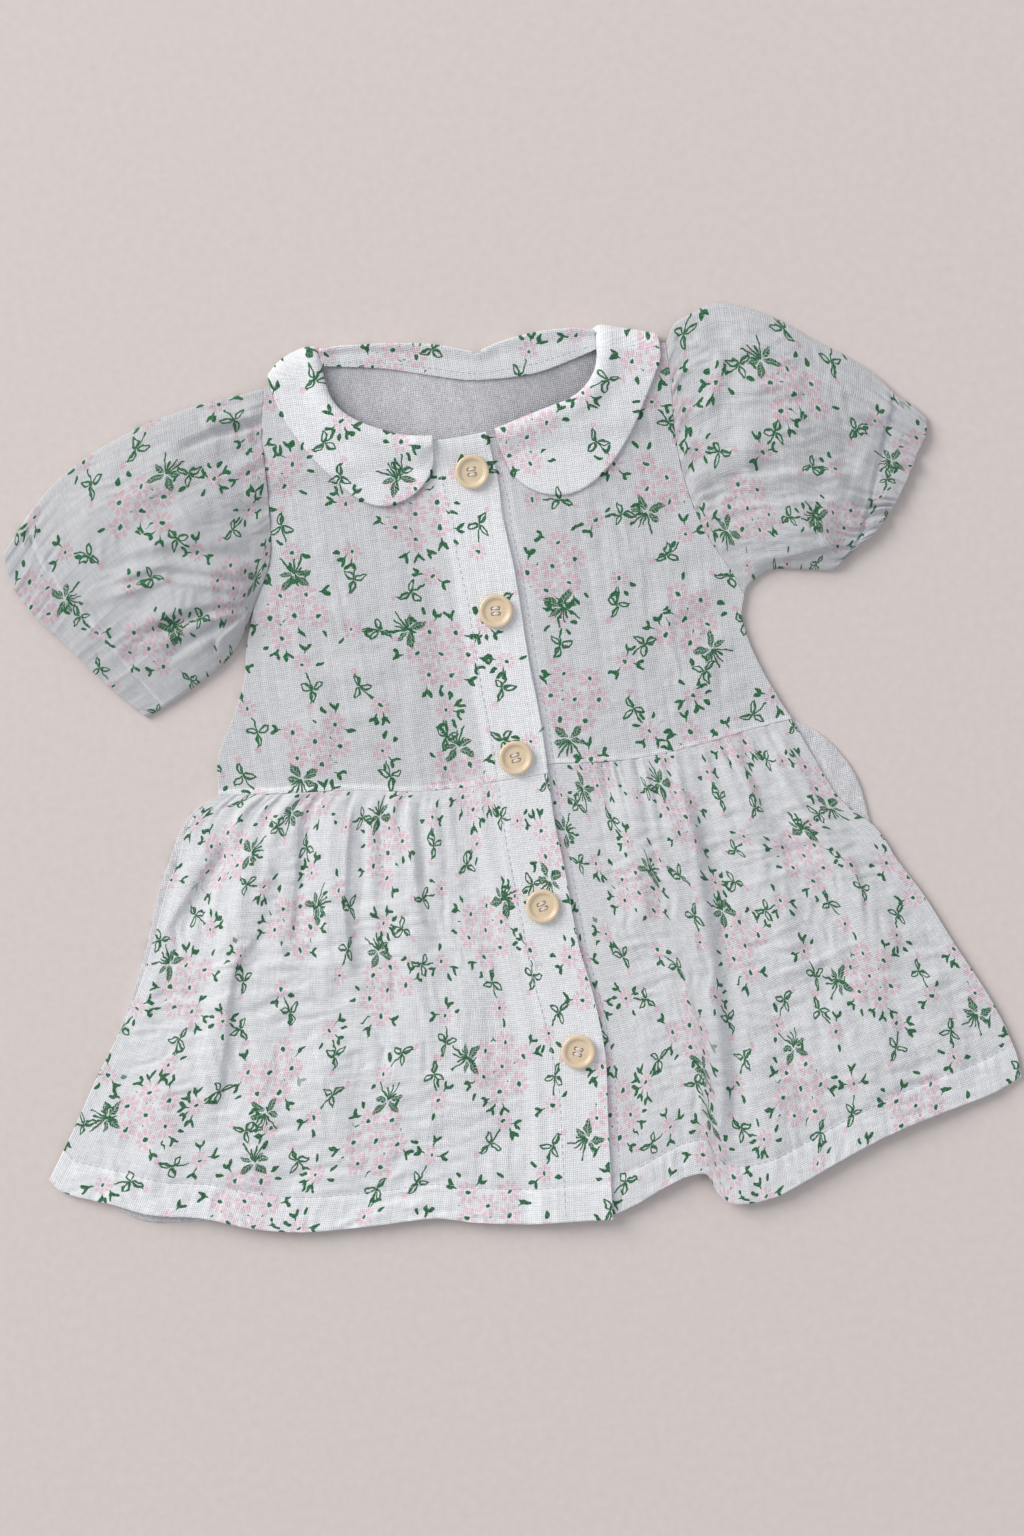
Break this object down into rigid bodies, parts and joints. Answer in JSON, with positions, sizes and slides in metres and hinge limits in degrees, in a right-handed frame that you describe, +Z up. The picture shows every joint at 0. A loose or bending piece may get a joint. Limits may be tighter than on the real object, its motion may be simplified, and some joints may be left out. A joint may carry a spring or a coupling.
{
  "type": "button-front puff-sleeve baby dress",
  "caption": "Baby's button-front dress with puff sleeves, two-piece Peter Pan collar and gathered skirt, in flower-print double gauze, laid flat.",
  "frame": {"origin": "middle of the dress's outline in plan, on the plane it lies on", "axes": "+Z up from the surface the dress lies on, through its thickness; +Y towards the neck along the button strip; +X towards the wearer's left"},
  "size_m": [0.433, 0.4018, 0.0152],
  "materials": {
    "printed_gauze": "white cotton double gauze with small pink flowers and green leaves",
    "button_resin": "cream and tan polished button with a raised rim"
  },
  "bodies": {
    "root": {"bodice_front_right": "printed_gauze", "bodice_front_left": "printed_gauze", "bodice_back": "printed_gauze", "neck_facing": "printed_gauze", "skirt_front_right": "printed_gauze", "skirt_front_left": "printed_gauze", "skirt_back": "printed_gauze", "sleeve_right": "printed_gauze", "sleeve_left": "printed_gauze", "collar_right": "printed_gauze", "collar_left": "printed_gauze", "button_1": "button_resin", "button_2": "button_resin", "button_3": "button_resin", "button_4": "button_resin", "button_5": "button_resin"}
  },
  "joints": []
}
